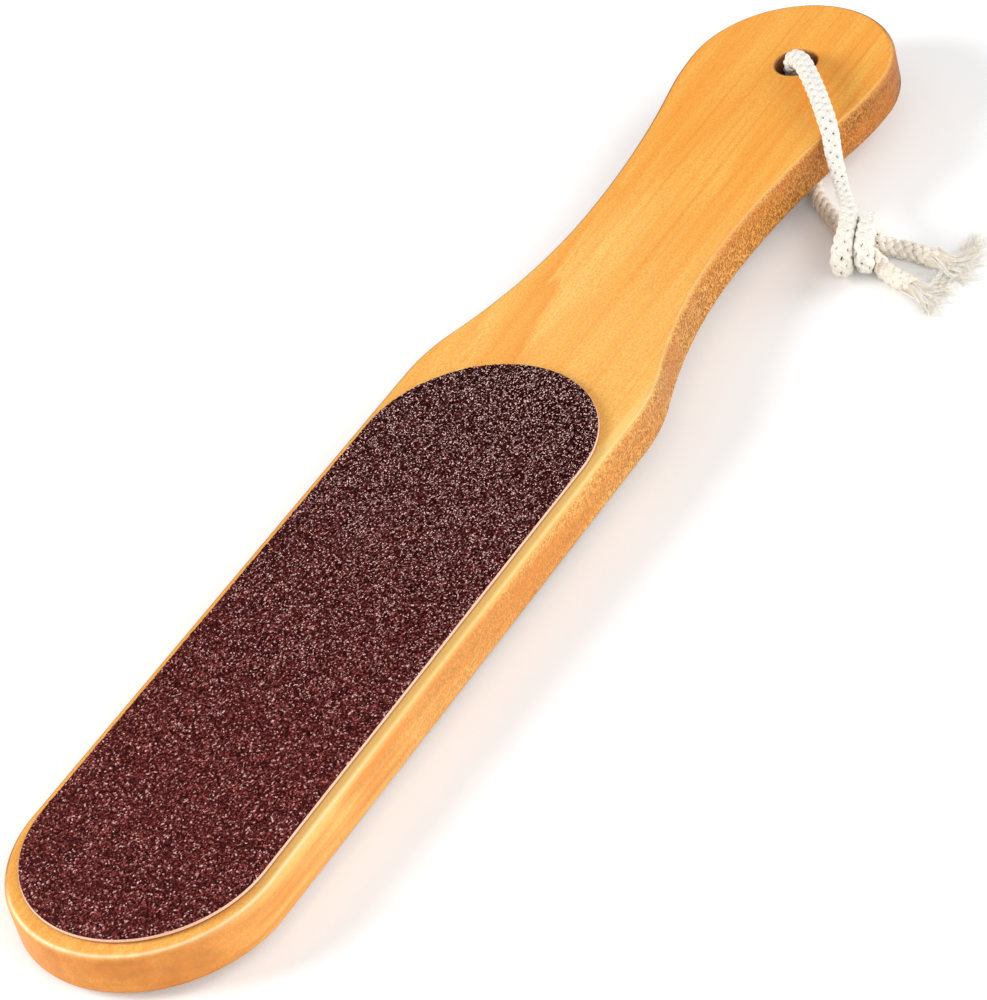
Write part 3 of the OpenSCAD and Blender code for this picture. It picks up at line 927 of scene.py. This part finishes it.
# Pads
def pad_distance(xy, inset):
    """How far points lie outside a pad's outline, and the nearest point of the outline's spine."""
    r = PAD_W / 2
    spine_x = np.clip(xy[:, 0], PAD_TIP_MARGIN + r, PAD_TIP_MARGIN + PAD_L - r)
    spine = np.column_stack([spine_x, np.zeros(len(xy))])
    return np.linalg.norm(xy - spine, axis=1) - (r - inset), spine


def triangle_grid(rows, cols):
    """Triangles between the points of a grid whose odd rows are shifted by half a step."""
    number = np.arange(rows * cols).reshape(rows, cols)
    a, b, c, d = number[:-1, :-1], number[:-1, 1:], number[1:, :-1], number[1:, 1:]
    odd = (np.arange(rows - 1) % 2 == 1)[:, None, None]
    first = np.where(odd, np.stack([a, b, d], 2), np.stack([a, b, c], 2)).reshape(-1, 3)
    second = np.where(odd, np.stack([a, d, c], 2), np.stack([b, d, c], 2)).reshape(-1, 3)
    return np.vstack([first, second])


def border_loop(faces):
    """The numbers of the points round the border of a sheet of triangles, in order."""
    edges = np.vstack([faces[:, [0, 1]], faces[:, [1, 2]], faces[:, [2, 0]]])
    key = {tuple(e) for e in edges.tolist()}
    border = {p: q for p, q in key if (q, p) not in key}
    loop = [min(border)]
    while border[loop[-1]] != loop[0]:
        loop.append(border[loop[-1]])
    return loop


def pad_piece(name, front, points, faces, material):
    """A layer of a pad, modelled for the front face and turned over for the back one."""
    if not front:
        points[:, 2] = BOARD_T - points[:, 2]
        faces = [tuple(reversed(f)) for f in faces]
    return mesh_object(name, lying(points), faces, material, smooth=False)


def grit_mesh(name, front, material, step, low, seed):
    """A coat of loose sharp grains, made as a jittered triangle grid of uneven heights."""
    draw = np.random.default_rng(seed)
    row = step * GRAIN_ROW
    rows = int(PAD_W / row) + 3
    cols = int(PAD_L / step) + 3
    j, i = np.meshgrid(np.arange(rows), np.arange(cols), indexing="ij")
    xy = np.column_stack([(PAD_TIP_MARGIN + (i + 0.5 * (j % 2) - 1) * step).ravel(),
                          ((j - (rows - 1) / 2) * row).ravel()])
    off, spine = pad_distance(xy, GRIT_INSET)
    at_edge = np.abs(off) < step / 2
    inside = off < step / 2
    xy[at_edge] = spine[at_edge] + unit(xy[at_edge] - spine[at_edge]) * (PAD_W / 2 - GRIT_INSET)
    free = inside & ~at_edge
    xy[free] += draw.uniform(-GRAIN_JITTER, GRAIN_JITTER, (free.sum(), 2)) * step
    grain = draw.random(len(xy))
    uneven = GRAIN_SHARE * grain + (1 - GRAIN_SHARE) * draw.random(len(xy))
    height = low + (GRIT_T - low) * uneven
    height[at_edge] = low
    faces = triangle_grid(rows, cols)
    faces = faces[inside[faces].all(1)]
    used, faces = np.unique(faces, return_inverse=True)
    faces = faces.reshape(-1, 3)
    base = BOARD_T + FILM_T + BACKING_T
    top = np.column_stack([xy[used], base + height[used]])

    # The coat's cut edge and its underside
    loop, count = border_loop(faces), len(top)
    bottom = top[loop].copy()
    bottom[:, 2] = base
    walls = [(loop[(k + 1) % len(loop)], loop[k], count + k, count + (k + 1) % len(loop))
             for k in range(len(loop))]
    underside = tuple(range(count + len(loop) - 1, count - 1, -1))
    piece = pad_piece(name, front, np.vstack([top, bottom]), faces.tolist() + walls + [underside],
                      material)
    # The number behind each grain's height, which the material paints as light on high grains and shade
    # on low ones
    point_values(piece, "grain", np.concatenate([grain[used], grain[used][loop]]))
    return piece


def backing_mesh(name, front, material):
    """The pale foam layer that carries the grit, its cut edge a little bulged."""
    r, steps = PAD_W / 2, BACKING_STEPS
    turn = np.radians(np.concatenate([np.linspace(-90, 90, steps), np.linspace(90, 270, steps)]))
    way = np.stack([np.cos(turn), np.sin(turn)], 1)
    middle = np.zeros((2 * steps, 2))
    middle[:, 0] = np.repeat([PAD_TIP_MARGIN + PAD_L - r, PAD_TIP_MARGIN + r], steps)
    rings = []
    for share, bulge, _ in BACKING_EDGE:
        z = np.full(2 * steps, BOARD_T + FILM_T + share * BACKING_T)
        rings.append(np.column_stack([middle + (r + bulge) * way, z]))
    faces = ring_faces(len(rings), 2 * steps, True)
    piece = pad_piece(name, front, np.vstack(rings), faces, material)
    point_values(piece, "glue", np.repeat([glue for _, _, glue in BACKING_EDGE], 2 * steps))
    return piece


# Floor, world and lamps
def make_floor():
    look = Shader("pale_floor")
    seen_directly = look.add("ShaderNodeLightPath").outputs["Is Camera Ray"]
    grain = look.noise((0.02, 0.02, 0.02), 1.0)
    white = look.mix(look.span(grain, 0.3, 0.7), (1.0, 1.0, 1.0), (0.985, 0.985, 0.985))
    away = look.add("ShaderNodeVectorMath", {0: look.place((1, 1, 1))}, operation="LENGTH")
    glow = look.span(away.outputs["Value"], *FLOOR_GLOW_AT, *FLOOR_GLOW)
    look.set(look.surface, {
        "Base Color": look.mix(seen_directly, (0.8, 0.8, 0.8), white), "Roughness": 0.9,
        "Specular IOR Level": 0.0, "Emission Color": (1, 1, 1, 1),
        "Emission Strength": look.times(seen_directly, glow)})
    corners = [(x * FLOOR_HALF, y * FLOOR_HALF, 0) for x, y in ((-1, -1), (1, -1), (1, 1), (-1, 1))]
    mesh_object("floor", corners, [(0, 1, 2, 3)], look.material)


def make_world():
    """Soft light from all round, and white where the camera looks past the floor."""
    world = bpy.data.worlds.new("world")
    world.use_nodes = True
    bpy.context.scene.world = world
    nodes, links = world.node_tree.nodes, world.node_tree.links
    ground = nodes["Background"]
    ground.inputs["Color"].default_value = (1, 1, 1, 1)
    ground.inputs["Strength"].default_value = WORLD_LIGHT
    white = nodes.new("ShaderNodeBackground")
    white.inputs["Color"].default_value = (1, 1, 1, 1)
    path = nodes.new("ShaderNodeLightPath")
    mix = nodes.new("ShaderNodeMixShader")
    links.new(path.outputs["Is Camera Ray"], mix.inputs["Fac"])
    links.new(ground.outputs["Background"], mix.inputs[1])
    links.new(white.outputs["Background"], mix.inputs[2])
    links.new(mix.outputs["Shader"], nodes["World Output"].inputs["Surface"])


def add_lamp(name, at, size, power):
    """A round area lamp that shines at the scene's middle."""
    data = bpy.data.lights.new(name, "AREA")
    data.shape = "DISK"
    data.size = size
    data.energy = power
    lamp = bpy.data.objects.new(name, data)
    facing = (-Vector(at)).to_track_quat("-Z", "Y")
    lamp.matrix_world = Matrix.Translation(at) @ facing.to_matrix().to_4x4()
    bpy.context.scene.collection.objects.link(lamp)


# The pieces, each with the body that it rides and the nodes that it stands for
def make_cords():
    """Both halves of the cord, from the hole through the knot, and the loose yarns at their ends."""
    yarn, braid = yarn_material(), braid_material()
    over_line = through(
        OVER_ROUTE + knot_wrap(**OVER_WRAP) + INTO_BLADE_TAIL + BLADE_TAIL_ROUTE, CORD_STEP)
    under_line = through(
        UNDER_ROUTE + knot_wrap(**UNDER_WRAP) + INTO_GRIP_TAIL + GRIP_TAIL_ROUTE, CORD_STEP)
    over_cord = braided_cord("cord_over_grip", over_line, OVER_WIDTHS, OVER_FILL, OVER_SOIL,
                             OVER_SEED, braid)
    under_cord = braided_cord("cord_under_grip", under_line, UNDER_WIDTHS, UNDER_FILL, UNDER_SOIL_AND_SHADE,
                              UNDER_SEED, braid)
    shade_seams(over_cord, under_line)
    shade_seams(under_cord, over_line)
    grip_yarns = loose_yarns("loose_yarns_grip_side", under_line, GRIP_CLUMPS, GRIP_YARN_SEED, yarn)
    blade_yarns = loose_yarns("loose_yarns_blade_side", over_line, BLADE_CLUMPS, BLADE_YARN_SEED,
                              yarn)
    for piece, nodes in (
            (over_cord, ("cord_over", "cord_knot", "tail_blade_side")),
            (under_cord, ("cord_under", "tail_grip_side")),
            (grip_yarns, ("fray_grip_side",)),
            (blade_yarns, ("fray_blade_side",))):
        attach(piece, "cord_loop")
        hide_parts(*nodes)


def make_board():
    board = board_mesh(wood_material())
    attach(board, "paddle")
    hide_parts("board")


def make_pads():
    """Both pads: grit and foam, and a material for the film that is the frame's own piece."""
    backing, film = backing_material(), film_material()
    for side, (grit_slot, facet_size, evenness, step, low, seed) in GRITS.items():
        front = side == "front"
        coat = grit_material(grit_slot, facet_size, evenness)
        grit = grit_mesh(side + "_grains", front, coat, step, low, seed)
        layer = backing_mesh(side + "_foam", front, backing)
        for piece, node, slot in ((grit, side + "_grit", grit_slot),
                                  (layer, side + "_backing", "backing")):
            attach(piece, "paddle")
            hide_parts(node)
        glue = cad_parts[side + "_film"]
        glue.data.materials.clear()
        glue.data.materials.append(film)


make_camera()
make_cords()
make_board()
make_pads()
make_floor()
make_world()
for lamp in LAMPS:
    add_lamp(*lamp)

bpy.context.scene.view_settings.view_transform = "Standard"
